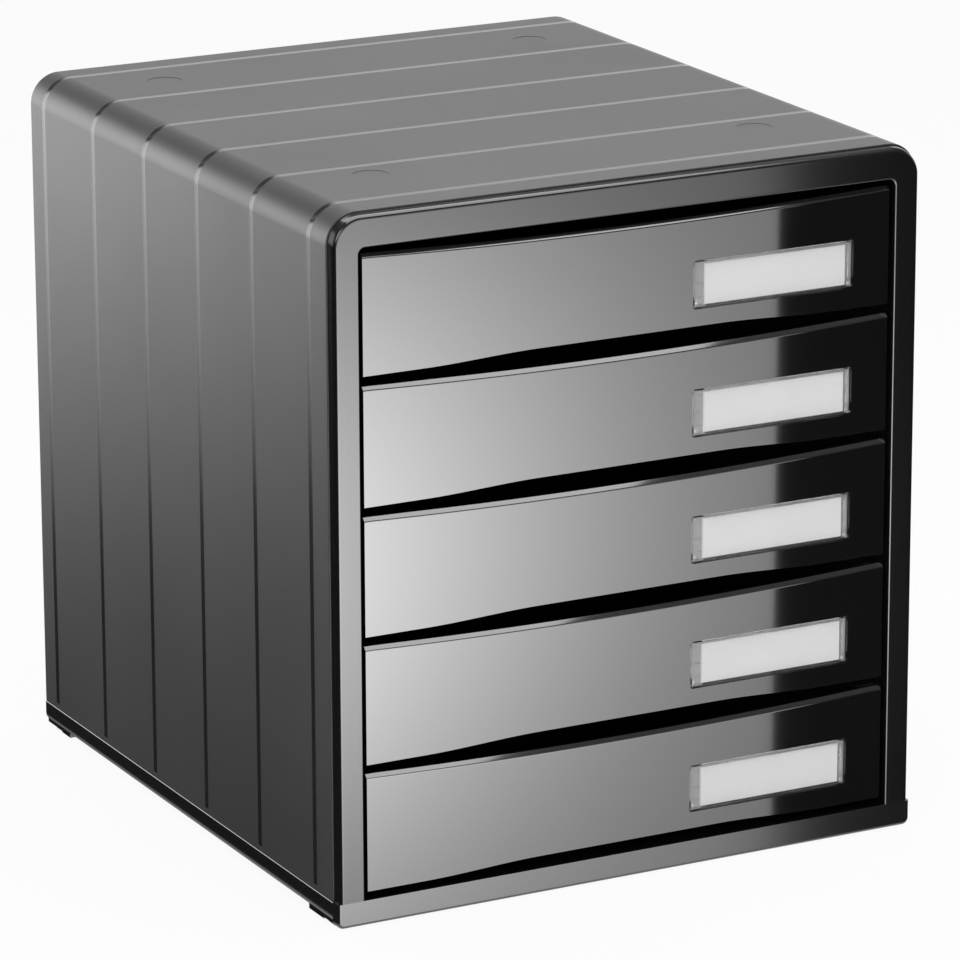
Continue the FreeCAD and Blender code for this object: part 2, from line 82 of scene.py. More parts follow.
back = Vector((
    math.sin(STAND_AZIMUTH) * math.cos(STAND_ELEVATION),
    -math.cos(STAND_AZIMUTH) * math.cos(STAND_ELEVATION),
    math.sin(STAND_ELEVATION),
))
camera_data = bpy.data.cameras.new("photo_camera")
camera_data.lens = LENS
camera_data.sensor_width = 36
camera = bpy.data.objects.new("photo_camera", camera_data)
camera.rotation_mode = "QUATERNION"
turn = Matrix.Rotation(ROLL, 3, back)
camera.rotation_quaternion = (turn @ (-back).to_track_quat("-Z", "Y").to_matrix()).to_quaternion()
camera.location = AIM + back * STAND_DISTANCE
bpy.context.scene.collection.objects.link(camera)
bpy.context.scene.camera = camera
bpy.context.scene.view_settings.view_transform = "Standard"
print("camera at", tuple(round(v, 3) for v in camera.location))

# %% [markdown]
# ## Shared effects: moulded grain, gloss film and a painted edge highlight
#
# An effect that several finishes share is built once, as a node group with named inputs.
# Spark-eroded tool steel leaves a fine pebble grain on a satin plastic; a polished tool leaves
# only long waves and a few specks of dust. Each could be an image, but noise has no seams and
# no end, so it holds up in close views.

# %% Node helpers
def node(tree, kind, **settings):
    made = tree.nodes.new(kind)
    for name, value in settings.items():
        setattr(made, name, value)
    return made


def new_group(name, inputs, outputs):
    group = bpy.data.node_groups.new(name, "ShaderNodeTree")
    for socket, default in inputs.items():
        made = group.interface.new_socket(socket, in_out="INPUT", socket_type="NodeSocketFloat")
        made.default_value = default
    for socket in outputs:
        group.interface.new_socket(socket, in_out="OUTPUT", socket_type="NodeSocketFloat")
    return group, node(group, "NodeGroupInput"), node(group, "NodeGroupOutput")


def math_node(tree, operation, first, second, third=None):
    made = node(tree, "ShaderNodeMath", operation=operation)
    for socket, source in zip(made.inputs, (first, second, third)):
        if isinstance(source, (int, float)):
            socket.default_value = source
        elif source is not None:
            tree.links.new(source, socket)
    return made.outputs[0]


def noise(tree, vector, scale, detail=3.0, roughness=0.5):
    made = node(tree, "ShaderNodeTexNoise")
    tree.links.new(vector, made.inputs["Vector"])
    if isinstance(scale, (int, float)):
        made.inputs["Scale"].default_value = scale
    else:
        tree.links.new(scale, made.inputs["Scale"])
    made.inputs["Detail"].default_value = detail
    made.inputs["Roughness"].default_value = roughness
    return made.outputs["Fac"]


# %% Group: moulded grain
def make_grain_group():
    """Pebble grain: Height for a bump, Sheen to vary the roughness a little."""
    group, given, result = new_group(
        "moulded_grain", {"Grain Scale": 2600.0, "Patch Scale": 9.0, "Strength": 1.0},
        ["Height", "Sheen"])
    where = node(group, "ShaderNodeTexCoord").outputs["Object"]
    fine = noise(group, where, given.outputs["Grain Scale"], detail=2.0, roughness=0.6)
    cells = node(group, "ShaderNodeTexVoronoi", feature="SMOOTH_F1")
    group.links.new(where, cells.inputs["Vector"])
    group.links.new(given.outputs["Grain Scale"], cells.inputs["Scale"])
    both = math_node(group, "MULTIPLY_ADD", cells.outputs["Distance"], 0.7, fine)
    height = math_node(group, "MULTIPLY", both, given.outputs["Strength"])
    patch = noise(group, where, given.outputs["Patch Scale"], detail=4.0)
    group.links.new(height, result.inputs["Height"])
    group.links.new(patch, result.inputs["Sheen"])
    return group


# %% Group: gloss film
def make_film_group():
    """A polished moulding: long faint waves in Height, dust and rubbed patches in Haze."""
    group, given, result = new_group(
        "gloss_film", {"Wave Scale": 14.0, "Dust Scale": 900.0, "Dust Amount": 0.5},
        ["Height", "Haze"])
    where = node(group, "ShaderNodeTexCoord").outputs["Object"]
    waves = noise(group, where, given.outputs["Wave Scale"], detail=1.0)
    rubbed = noise(group, where, 6.0, detail=5.0, roughness=0.65)
    specks = node(group, "ShaderNodeTexVoronoi", feature="F1")
    group.links.new(where, specks.inputs["Vector"])
    group.links.new(given.outputs["Dust Scale"], specks.inputs["Scale"])
    dot = math_node(group, "LESS_THAN", specks.outputs["Distance"], 0.09)
    chosen = math_node(group, "GREATER_THAN", noise(group, where, 160.0, detail=1.0), 0.62)
    dust = math_node(group, "MULTIPLY", math_node(group, "MULTIPLY", dot, chosen),
                     given.outputs["Dust Amount"])
    haze = math_node(group, "ADD", math_node(group, "MULTIPLY", rubbed, 0.5), dust)
    group.links.new(waves, result.inputs["Height"])
    group.links.new(haze, result.inputs["Haze"])
    return group


# %% Group: painted edge highlight
def make_edge_highlight_group():
    """A painted edge highlight: a mask that is bright on convex edges, broken up by noise."""
    group, given, result = new_group("painted_edge_highlight", {"Reach": 14.0, "Breakup Scale": 120.0}, ["Mask"])
    where = node(group, "ShaderNodeTexCoord").outputs["Object"]
    convex = math_node(group, "SUBTRACT", node(group, "ShaderNodeNewGeometry").outputs["Pointiness"], 0.5)
    reach = math_node(group, "MULTIPLY", convex, given.outputs["Reach"])
    broken = noise(group, where, given.outputs["Breakup Scale"], detail=4.0)
    mask = node(group, "ShaderNodeMath", operation="MULTIPLY", use_clamp=True)
    group.links.new(reach, mask.inputs[0])
    group.links.new(broken, mask.inputs[1])
    group.links.new(mask.outputs[0], result.inputs["Mask"])
    return group


GRAIN = make_grain_group()
FILM = make_film_group()
EDGES = make_edge_highlight_group()
print("groups", [group.name for group in (GRAIN, FILM, EDGES)])

# %% [markdown]
# ## Finishes
#
# A material has one Principled BSDF. What is the same all over is set on its own sockets; what
# changes over the surface comes from the groups through a colour ramp, a map range and a bump.

# %% Material helpers
def new_material(name, **constants):
    made = bpy.data.materials.new(name)
    made.use_nodes = True
    shader = made.node_tree.nodes["Principled BSDF"]
    for socket, value in constants.items():
        shader.inputs[socket.replace("_", " ")].default_value = value
    return made, made.node_tree, shader


def use_group(tree, group, **values):
    made = node(tree, "ShaderNodeGroup", node_tree=group)
    for socket, value in values.items():
        made.inputs[socket.replace("_", " ")].default_value = value
    return made


def spread(tree, source, low, high):
    """Stretch a 0 to 1 mask to the range of a roughness or a weight."""
    made = node(tree, "ShaderNodeMapRange")
    tree.links.new(source, made.inputs["Value"])
    made.inputs["To Min"].default_value = low
    made.inputs["To Max"].default_value = high
    return made.outputs["Result"]


def between(tree, mask, dark, light):
    made = node(tree, "ShaderNodeMix", data_type="RGBA")
    tree.links.new(mask, made.inputs["Factor"])
    made.inputs["A"].default_value = (*dark, 1)
    made.inputs["B"].default_value = (*light, 1)
    return made.outputs["Result"]


def bump(tree, shader, height, depth, strength=1.0):
    made = node(tree, "ShaderNodeBump")
    made.inputs["Distance"].default_value = depth
    made.inputs["Strength"].default_value = strength
    tree.links.new(height, made.inputs["Height"])
    tree.links.new(made.outputs["Normal"], shader.inputs["Normal"])


# %% Satin and plain mouldings
def satin_plastic(name, dark, light, rough, grain_depth, grain_scale=2600.0, ior=1.5):
    """Black plastic from a grained tool: its sheen varies in patches, and its convex edges get a painted highlight in
    the base colour.
    """
    made, tree, shader = new_material(name, IOR=ior)
    grain = use_group(tree, GRAIN, Grain_Scale=grain_scale)
    painted_edge_light = use_group(tree, EDGES)
    # Base colour: random patches of tone, plus convex edges painted lighter as a painted edge highlight.
    tint = math_node(tree, "MULTIPLY_ADD", painted_edge_light.outputs["Mask"], 0.5, grain.outputs["Sheen"])
    tree.links.new(between(tree, tint, dark, light), shader.inputs["Base Color"])
    tree.links.new(spread(tree, grain.outputs["Sheen"], *rough), shader.inputs["Roughness"])
    bump(tree, shader, grain.outputs["Height"], grain_depth)
    return made


def gloss_plastic(name, dark, light, rough, ior, coat):
    """High-gloss black: a clear deep surface with long waves and a little dust."""
    made, tree, shader = new_material(name, IOR=ior, Coat_Weight=coat, Coat_Roughness=0.03, Coat_IOR=1.5)
    film = use_group(tree, FILM)
    tree.links.new(between(tree, film.outputs["Haze"], dark, light), shader.inputs["Base Color"])
    tree.links.new(spread(tree, film.outputs["Haze"], *rough), shader.inputs["Roughness"])
    bump(tree, shader, film.outputs["Height"], 0.00004)
    return made


CASING = satin_plastic("casing_satin", (0.022, 0.022, 0.023), (0.034, 0.034, 0.036), (0.36, 0.46), 0.00002)
GROOVE = satin_plastic("groove_polished", (0.012, 0.012, 0.013), (0.02, 0.02, 0.021), (0.10, 0.14), 0.000005,
                       ior=1.4)
GLOSS = gloss_plastic("front_gloss", (0.0035, 0.0035, 0.0038), (0.010, 0.010, 0.011), (0.035, 0.09), 1.75, 0.6)
FRAME_GLOSS = gloss_plastic("frame_gloss", (0.004, 0.004, 0.0043), (0.011, 0.011, 0.012), (0.13, 0.19), 1.68, 0.0)
BASE_GLOSS = gloss_plastic("base_gloss", (0.004, 0.004, 0.0043), (0.011, 0.011, 0.012), (0.13, 0.19), 1.95, 0.0)
TRAY = satin_plastic("tray_satin", (0.014, 0.014, 0.015), (0.024, 0.024, 0.025), (0.38, 0.5), 0.00002, 1800.0)
RUNNER = satin_plastic("runner_plain", (0.016, 0.016, 0.017), (0.03, 0.03, 0.031), (0.42, 0.55), 0.00002, 1500.0)
BACK = satin_plastic("back_plain", (0.02, 0.02, 0.021), (0.03, 0.03, 0.032), (0.4, 0.5), 0.00002, 1500.0)


# %% Paper, clear window and foot pads
def paper():
    """Uncoated white card: faint fibres in colour and height."""
    made, tree, shader = new_material("label_paper", IOR=1.4)
    where = node(tree, "ShaderNodeTexCoord").outputs["Object"]
    fibres = noise(tree, where, 1400.0, detail=6.0, roughness=0.7)
    tree.links.new(between(tree, fibres, (0.86, 0.86, 0.855), (0.93, 0.93, 0.925)), shader.inputs["Base Color"])
    tree.links.new(spread(tree, fibres, 0.75, 0.95), shader.inputs["Roughness"])
    bump(tree, shader, fibres, 0.00002)
    return made


def clear_plastic(name, rough, tint, shadow, ior=1.49, clearness=1.0):
    """Clear moulding. Shadow and diffuse rays go straight through, so what lies behind is lit plainly."""
    made, tree, shader = new_material(name, IOR=ior, Transmission_Weight=clearness)
    film = use_group(tree, FILM, Wave_Scale=60.0)
    tree.links.new(between(tree, film.outputs["Haze"], tint, (1, 1, 1)), shader.inputs["Base Color"])
    tree.links.new(spread(tree, film.outputs["Haze"], *rough), shader.inputs["Roughness"])
    bump(tree, shader, film.outputs["Height"], 0.00003)
    ray = node(tree, "ShaderNodeLightPath")
    straight = math_node(tree, "MAXIMUM", ray.outputs["Is Shadow Ray"], ray.outputs["Is Diffuse Ray"])
    tree.links.new(math_node(tree, "MULTIPLY_ADD", straight, -shadow, 1.0), shader.inputs["Alpha"])
    return made


PAPER = paper()
WINDOW = clear_plastic("clear_window", (0.01, 0.06), (0.98, 0.985, 0.99), 0.97, ior=1.12)
# The edge moulding is partly milky white: painted light standing in for the light that the clear rim carries by
# refraction and inner reflection.
WINDOW_EDGE = clear_plastic("clear_window_edge", (0.03, 0.07), (0.92, 0.93, 0.94), 0.9, clearness=0.86)
FOOT = clear_plastic("foot_clear", (0.25, 0.4), (0.80, 0.81, 0.82), 0.6)
print("materials", len(bpy.data.materials))

# %% [markdown]
# ## Helpers for the pieces
#
# Every moulding starts as a box of its node's size. Its corners are rounded with a bevel, holes
# are carved with a boolean, and then the normals of the flat faces are kept flat with weighted
# normals, because a mirror-like plastic shows every bent normal.

# %% Mesh helpers
MM = 0.001


def box_mesh(low, high):
    """A bmesh box between two corners."""
    made = bmesh.new()
    bmesh.ops.create_cube(made, size=1)
    low, high = Vector(low), Vector(high)
    bmesh.ops.scale(made, vec=high - low, verts=made.verts)
    bmesh.ops.translate(made, vec=(low + high) / 2, verts=made.verts)
    return made


def is_along(edge, axis):
    span = edge.verts[1].co - edge.verts[0].co
    return abs(abs(span[axis]) - span.length) < 1e-6


def round_edges(mesh, edges, radius, segments):
    bmesh.ops.bevel(mesh, geom=edges, offset=radius, segments=segments, profile=0.5,
                    affect="EDGES", material=-1, clamp_overlap=True)


def cut(mesh, place, normal):
    everything = mesh.verts[:] + mesh.edges[:] + mesh.faces[:]
    bmesh.ops.bisect_plane(mesh, geom=everything, dist=1e-7, plane_co=place, plane_no=normal)


def at(value, target, slack=1e-5):
    return abs(value - target) < slack


def carve(mesh, cutters):
    """Take other closed meshes out of this one, with an exact boolean."""
    body = bpy.data.objects.new("carved", bpy.data.meshes.new("carved"))
    mesh.to_mesh(body.data)
    bpy.context.scene.collection.objects.link(body)
    tools = []
    for number, cutter in enumerate(cutters):
        tool = bpy.data.objects.new(f"cutter_{number}", bpy.data.meshes.new("cutter"))
        cutter.to_mesh(tool.data)
        bpy.context.scene.collection.objects.link(tool)
        modifier = body.modifiers.new("carve", "BOOLEAN")
        modifier.operation = "DIFFERENCE"
        modifier.solver = "EXACT"
        modifier.object = tool
        tools.append(tool)
    ready = body.evaluated_get(bpy.context.evaluated_depsgraph_get())
    result = bpy.data.meshes.new_from_object(ready)
    made = bmesh.new()
    made.from_mesh(result)
    for thing in [body, *tools]:
        bpy.data.objects.remove(thing)
    return made


def joined(meshes):
    """Several closed shells as one bmesh."""
    made = bmesh.new()
    for mesh in meshes:
        part = bpy.data.meshes.new("part")
        mesh.to_mesh(part)
        made.from_mesh(part)
    return made


def finish_piece(name, mesh, materials, body, nodes, smooth=35):
    """Clean a bmesh, smooth what is rounded, and hand the piece to its body and node."""
    bmesh.ops.remove_doubles(mesh, verts=mesh.verts, dist=1e-7)
    bmesh.ops.recalc_face_normals(mesh, faces=mesh.faces)
    for face in mesh.faces:
        face.smooth = True
    for edge in mesh.edges:
        if len(edge.link_faces) != 2 or edge.calc_face_angle() > math.radians(smooth):
            edge.smooth = False
    data = bpy.data.meshes.new(name)
    mesh.to_mesh(data)
    mesh.free()
    made = bpy.data.objects.new(name, data)
    bpy.context.scene.collection.objects.link(made)
    for material in materials:
        data.materials.append(material)
    flat = made.modifiers.new("flat_normals", "WEIGHTED_NORMAL")
    flat.keep_sharp = True
    flat.weight = 80
    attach(made, body)
    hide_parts(*nodes)
    print(name, len(data.polygons), "faces")
    return made


# %% [markdown]
# ## The casing
#
# The real casing is one thin moulding: two sides and a top, with six grooves wrapped round them.
# It could be drawn as a profile and extruded, but a box that loses three faces, gets two rounded
# edges and then a wall is quicker, and cuts across it leave strips to sink the grooves into.

# %% Casing
WALL = 3 * MM
CORNER = 14 * MM
GROOVE_WIDTH = 3.6 * MM
GROOVE_DEPTH = 0.07 * MM
GROOVE_COUNT = 6
FIRST_GROOVE = 22 * MM
LAST_GROOVE = 15 * MM
GROOVE_FOOT = 2.8 * MM
RECESS_RADIUS = 8 * MM
RECESS_DEPTH = 0.12 * MM
RECESSES = [(95 * MM, 61 * MM), (95 * MM, 272.5 * MM)]


def groove_places():
    first = CAD_LOW.y + FIRST_GROOVE
    last = CAD_HIGH.y - LAST_GROOVE
    return [first + (last - first) * number / (GROOVE_COUNT - 1) for number in range(GROOVE_COUNT)]


def recess_cutters(top):
    made = []
    for across, along in RECESSES:
        for side in (-1, 1):
            disc = bmesh.new()
            bmesh.ops.create_cone(disc, cap_ends=True, segments=64, radius1=RECESS_RADIUS,
                                  radius2=RECESS_RADIUS, depth=2 * RECESS_DEPTH)
            bmesh.ops.translate(disc, verts=disc.verts, vec=(side * across, CAD_LOW.y + along, top))
            made.append(disc)
    return made


def make_casing():
    low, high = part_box("casing")
    mesh = box_mesh(low, high)
    open_faces = [face for face in mesh.faces if face.normal.z < -0.5 or abs(face.normal.y) > 0.5]
    bmesh.ops.delete(mesh, geom=open_faces, context="FACES")
    shoulders = [e for e in mesh.edges if is_along(e, 1) and at(e.verts[0].co.z, high.z)]
    round_edges(mesh, shoulders, CORNER, 16)
    bmesh.ops.solidify(mesh, geom=mesh.faces[:], thickness=WALL)
    bmesh.ops.recalc_face_normals(mesh, faces=mesh.faces)
    half_groove = Vector((0, GROOVE_WIDTH / 2, 0))
    for place in groove_places():
        middle = Vector((0, place, 0))
        cut(mesh, middle - half_groove, (0, 1, 0))
        cut(mesh, middle + half_groove, (0, 1, 0))
    cut(mesh, (0, 0, low.z + GROOVE_FOOT), (0, 0, 1))
    heart = Vector((0, 0, (low.z + high.z) / 2))

    def in_groove(face):
        centre = face.calc_center_median()
        outward = face.normal.dot(Vector((centre.x, 0, centre.z - heart.z))) > 0
        near_groove = any(abs(centre.y - place) < GROOVE_WIDTH * 0.4 for place in groove_places())
        return outward and near_groove and centre.z > low.z + GROOVE_FOOT and abs(face.normal.y) < 0.1

    def under_skin(point):
        """Depth below the outer skin: straight at the walls, radial in the shoulders."""
        across, up = high.x - CORNER - abs(point.x), high.z - CORNER - point.z
        if across < 0 and up < 0:
            return CORNER - math.hypot(across, up)
        return min(high.x - abs(point.x), high.z - point.z)

    strips = [face for face in mesh.faces if in_groove(face)]
    bmesh.ops.inset_region(mesh, faces=strips, thickness=0.35 * MM, depth=-GROOVE_DEPTH,
                           use_even_offset=True, use_boundary=True)
    mesh = carve(mesh, recess_cutters(high.z))
    for plane, radius in ((low.y, 0.4 * MM), (high.y, 0.8 * MM)):
        rim = [edge for edge in mesh.edges
               if at(edge.verts[0].co.y, plane) and at(edge.verts[1].co.y, plane)
               and len(edge.link_faces) == 2 and edge.calc_face_angle() > 1.0]
        round_edges(mesh, rim, radius, 3)
    for face in mesh.faces:
        centre = face.calc_center_median()
        near_groove = any(abs(centre.y - place) < GROOVE_WIDTH * 0.52 for place in groove_places())
        sunk = 0.03 * MM < under_skin(centre) < 1.5 * MM
        face.material_index = int(near_groove and sunk and centre.z > low.z + GROOVE_FOOT)
    return finish_piece("casing_shell", mesh, [CASING, GROOVE], "cabinet", ["casing"])


make_casing()

# %% [markdown]
# ## The front frame
#
# The glossy surround is a frame with a fine rounded rim that draws a bright line along every
# edge. The opening is carved out of a block, and only the edges of the front face are rounded.

# %% Front frame
LIP_DEPTH = 5 * MM
FRAME_CORNER = 13.3 * MM
OPENING_HALF = 131 * MM
OPENING_CORNER = 3 * MM
OPENING_TOP = 302 * MM
OUTER_RIM = 1.8 * MM
INNER_RIM = 0.9 * MM
LIP_TAPER = math.radians(6.5)


def upright_block(low, high, corner, segments):
    """A box whose two upper edges along Y are rounded."""
    mesh = box_mesh(low, high)
    tops = [edge for edge in mesh.edges if is_along(edge, 1) and at(edge.verts[0].co.z, high[2])]
    round_edges(mesh, tops, corner, segments)
    return mesh


def front_edges(mesh, plane, sharpness=1.0):
    return [edge for edge in mesh.edges
            if at(edge.verts[0].co.y, plane) and at(edge.verts[1].co.y, plane)
            and len(edge.link_faces) == 2 and edge.calc_face_angle() > sharpness]


def make_front_frame():
    low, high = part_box("front_frame")
    block = upright_block(low, (high.x, low.y + LIP_DEPTH, high.z), FRAME_CORNER, 18)
    hole = upright_block((-OPENING_HALF, low.y - MM, low.z - MM),
                         (OPENING_HALF, high.y + MM, OPENING_TOP), OPENING_CORNER, 8)
    slope = LIP_DEPTH * math.tan(LIP_TAPER)
    for vert in block.verts:
        if at(vert.co.y, low.y):
            vert.co.x *= 1 - slope / high.x
            vert.co.z -= slope * (vert.co.z - low.z) / (high.z - low.z)
    lip = carve(block, [hole])
    rim = [edge for edge in front_edges(lip, low.y) if not all(at(v.co.z, low.z) for v in edge.verts)]

    def inside(edge):
        return all(abs(v.co.x) < OPENING_HALF + MM and v.co.z < OPENING_TOP + MM for v in edge.verts)

    outer = [edge for edge in rim if not inside(edge)]
    round_edges(lip, outer, OUTER_RIM, 5)
    inner = [edge for edge in front_edges(lip, low.y) if inside(edge)
             and not all(at(v.co.z, low.z) for v in edge.verts)]
    round_edges(lip, inner, INNER_RIM, 4)
    sleeve_half, sleeve_wall = CAD_HIGH.x - WALL - 0.2 * MM, 2 * MM
    sleeve_top = CAD_HIGH.z - WALL - 0.2 * MM
    sleeve = upright_block((-sleeve_half, low.y + LIP_DEPTH, low.z),
                           (sleeve_half, high.y, sleeve_top), 10.8 * MM, 12)
    bore = upright_block((-sleeve_half + sleeve_wall, low.y, low.z - MM),
                         (sleeve_half - sleeve_wall, high.y + MM, sleeve_top - sleeve_wall), 8.8 * MM, 12)
    tongue = carve(sleeve, [bore])
    return finish_piece("front_surround", joined([lip, tongue]), [FRAME_GLOSS], "cabinet",
                        ["front_frame"])


make_front_frame()

# %% [markdown]
# ## The base
#
# The base is a shallow floor with lengthwise channels below and a glossy rail across the front.
# Its lower side edges are rounded and catch a little light from below.

# %% Base
BASE_EDGE = 5 * MM
RAIL_CORNER = 3.2 * MM
RAIL_RIM = 1.6 * MM
RAIL_BOTTOM = 0.5 * MM
FOOT_HEIGHT = 1.2 * MM
CHANNELS = 9
CHANNEL_WIDTH = 24 * MM
CHANNEL_RIB = 3.6 * MM
CHANNEL_END = 5 * MM
CHANNEL_DEPTH = 7.8 * MM
SEAT_INSET = 1 * MM
SEAT_BREADTH = 17 * MM
SEAT_LENGTH = 26 * MM
TAB_BOTTOM = 0.5 * MM
TAB_GAP = 0.6 * MM


def channel_cutters(low, high, front):
    row = CHANNELS * CHANNEL_WIDTH + (CHANNELS - 1) * CHANNEL_RIB
    made = []
    for number in range(CHANNELS):
        left = -row / 2 + number * (CHANNEL_WIDTH + CHANNEL_RIB)
        block = box_mesh((left, front + CHANNEL_END, FOOT_HEIGHT - MM),
                         (left + CHANNEL_WIDTH, high.y - CHANNEL_END, FOOT_HEIGHT + CHANNEL_DEPTH))
        round_edges(block, [e for e in block.edges if is_along(e, 2)], 2 * MM, 4)
        made.append(block)
    return made


def foot_seats(low, high, front):
    """At each corner a flat seat for the foot, and beside the foot a low tab."""
    made = []
    for side in ("left", "right"):
        for end in ("front", "rear"):
            foot_low, foot_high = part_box(f"foot_{end}_{side}")
            sign = -1 if side == "left" else 1
            outer = sign * (high.x - SEAT_INSET)
            inner = sign * (high.x - SEAT_INSET - SEAT_BREADTH)
            start, stop = (front, front + SEAT_LENGTH) if end == "front" else (high.y - SEAT_LENGTH, high.y)
            seat = box_mesh((min(outer, inner), start, FOOT_HEIGHT), (max(outer, inner), stop, FOOT_HEIGHT + BASE_EDGE))
            beyond = foot_low.x if side == "right" else foot_high.x
            if end == "front":
                start = foot_high.y + TAB_GAP
            else:
                stop = foot_low.y - TAB_GAP
            tab = box_mesh((min(outer, beyond), start, TAB_BOTTOM), (max(outer, beyond), stop, FOOT_HEIGHT + MM))
            for block in (seat, tab):
                round_edges(block, block.edges[:], 0.4 * MM, 2)
                made.append(block)
    return made


def make_base():
    low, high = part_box("base")
    front = low.y + LIP_DEPTH
    slab = box_mesh((low.x, front, FOOT_HEIGHT), high)
    lower = [edge for edge in slab.edges if is_along(edge, 1) and at(edge.verts[0].co.z, FOOT_HEIGHT)]
    round_edges(slab, lower, BASE_EDGE, 10)
    rim = [edge for edge in slab.edges if is_along(edge, 1) and at(edge.verts[0].co.z, high.z)]
    round_edges(slab, rim, 0.5 * MM, 3)
    slab = carve(slab, channel_cutters(low, high, front))
    rail = box_mesh((low.x, low.y, RAIL_BOTTOM), (high.x, front, high.z))
    ends = [edge for edge in rail.edges if is_along(edge, 1) and at(edge.verts[0].co.z, RAIL_BOTTOM)]
    round_edges(rail, ends, RAIL_CORNER, 8)
    lower = [edge for edge in front_edges(rail, low.y, 0.3)
             if not all(at(v.co.z, high.z) for v in edge.verts)]
    round_edges(rail, lower, RAIL_RIM, 5)
    upper = [edge for edge in front_edges(rail, low.y, 0.3) if all(at(v.co.z, high.z) for v in edge.verts)]
    round_edges(rail, upper, 0.5 * MM, 3)
    return finish_piece("base_floor", joined([slab, rail, *foot_seats(low, high, front)]), [BASE_GLOSS], "cabinet", ["base"])


make_base()

# %% [markdown]
# ## The back panel and the feet
#
# Nothing of the back shows in the photograph, so it is a plain plate with a thinner middle
# field. The feet are four clear soft pads.

# %% Back panel and feet
BACK_CORNER = 10.8 * MM
BACK_BORDER = 12 * MM
BACK_FIELD = 0.8 * MM
FOOT_CORNER = 2.5 * MM


def make_back_panel():
    low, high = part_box("back_panel")
    plate = upright_block(low, high, BACK_CORNER, 12)
    border = Vector((BACK_BORDER, 0, BACK_BORDER))
    field = box_mesh((low.x + border.x, high.y - BACK_FIELD, low.z + border.z),
                     (high.x - border.x, high.y + MM, high.z - border.z))
    round_edges(field, [e for e in field.edges if is_along(e, 1)], 4 * MM, 8)
    plate = carve(plate, [field])
    round_edges(plate, front_edges(plate, high.y), 0.4 * MM, 3)
    return finish_piece("rear_plate", plate, [BACK], "cabinet", ["back_panel"])


def make_foot(node_name):
    low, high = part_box(node_name)
    pad = box_mesh(low, high)
    round_edges(pad, [e for e in pad.edges if is_along(e, 2)], FOOT_CORNER, 6)
    sole = [edge for edge in pad.edges if all(at(v.co.z, low.z) for v in edge.verts)]
    round_edges(pad, sole, 0.5 * MM, 3)
    return finish_piece(node_name + "_pad", pad, [FOOT], "cabinet", [node_name])


make_back_panel()
for foot in [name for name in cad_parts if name.startswith("foot_")]:
    make_foot(foot)

# %% [markdown]
# ## The runners
#
# The runners are flat panels with square ledges, and the construction model already has them
# right, so they are kept and only get their plain moulded finish.

# %% Runners
for side in ("left", "right"):
    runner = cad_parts[f"runner_{side}"]
    runner.data.materials.clear()
    runner.data.materials.append(RUNNER)
    print(runner.name, len(runner.data.polygons), "faces kept")

# %% [markdown]
# ## The drawer fronts
#
# A front is a plate whose top edge dips in a long scoop and whose lower edge rises in a flat
# arch, so that fingers find room between two drawers. The plate is cut into upright strips, and
# the ends of the strips are moved by a formula. The upper edge then gets a wide soft lip and
# the rest a fine one.

# %% Drawer fronts
STRIPS = 64
SCOOP_DEPTH = 2.7 * MM
SCOOP_HALF = 126 * MM
ARCH_HEIGHT = 1.8 * MM
ARCH_INNER = 45 * MM
ARCH_OUTER = 100 * MM
LIP_CHAMFER = 1.7 * MM
LIP_SOFTEN = 0.4 * MM
FINE_ROUND = 0.9 * MM
POCKET_DEPTH = 2 * MM
POCKET_PLAY = 0.3 * MM
POCKET_CORNER = 1.2 * MM


def scoop(across):
    """How far the top edge dips at a distance from the middle."""
    share = min(abs(across) / SCOOP_HALF, 1)
    return SCOOP_DEPTH * (1 - share ** 2)


def arch(across):
    """How far the lower edge rises: flat in the middle, with a soft ramp at each end."""
    ramp = (ARCH_OUTER - abs(across)) / (ARCH_OUTER - ARCH_INNER)
    ramp = max(0, min(1, ramp))
    return ARCH_HEIGHT * ramp * ramp * (3 - 2 * ramp)


def make_front(drawer, number):
    low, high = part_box(f"drawer_front_{number}")
    plate = box_mesh(low, high)
    for strip in range(1, STRIPS):
        cut(plate, (low.x + (high.x - low.x) * strip / STRIPS, 0, 0), (1, 0, 0))
    for vert in plate.verts:
        if at(vert.co.z, high.z):
            vert.co.z -= scoop(vert.co.x)
        else:
            vert.co.z += arch(vert.co.x)
    middle = (low.z + high.z) / 2
    rim = front_edges(plate, low.y)
    upper = [edge for edge in rim if all(v.co.z > middle for v in edge.verts) and not is_along(edge, 2)]
    round_edges(plate, upper, LIP_CHAMFER, 1)
    bend = [e for e in plate.edges if all(at(v.co.y, low.y) and v.co.z > middle for v in e.verts)
            and len(e.link_faces) == 2 and 0.5 < e.calc_face_angle() < 1.1]
    round_edges(plate, bend, LIP_SOFTEN, 4)
    fine = [e for e in front_edges(plate, low.y) if any(v.co.z < middle for v in e.verts)]
    round_edges(plate, fine, FINE_ROUND, 3)
    window_low, window_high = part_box(f"label_window_{number}")
    room = box_mesh((window_low.x - POCKET_PLAY, low.y - MM, window_low.z - POCKET_PLAY),
                    (window_high.x + POCKET_PLAY, low.y + POCKET_DEPTH, window_high.z + POCKET_PLAY))
    round_edges(room, [e for e in room.edges if is_along(e, 1)], POCKET_CORNER, 6)
    plate = carve(plate, [room])
    return finish_piece(f"front_{number}", plate, [GLOSS], drawer,
                        [f"drawer_front_{number}"])


for number, drawer in enumerate(DRAWERS, start=1):
    make_front(drawer, number)

# %% [markdown]
# ## Label windows and cards
#
# The window is a clear moulding with a raised rim and two small clip wells at each end; the card
# behind it is plain white. Both are only boxes at first, then inset and sunk where the real
# moulding is thinner.

# %% Label windows and cards
WINDOW_MARGIN = 0.3 * MM
OUTLINE_WIDTH = 0.3 * MM
RIM_WIDTH = 0.7 * MM
RIM_HEIGHT = 0.35 * MM
CLIP_SINK = 0.45 * MM
CLIP_EDGES = (0.20, 0.50, 0.88)
PEG_RADIUS = 1.15 * MM


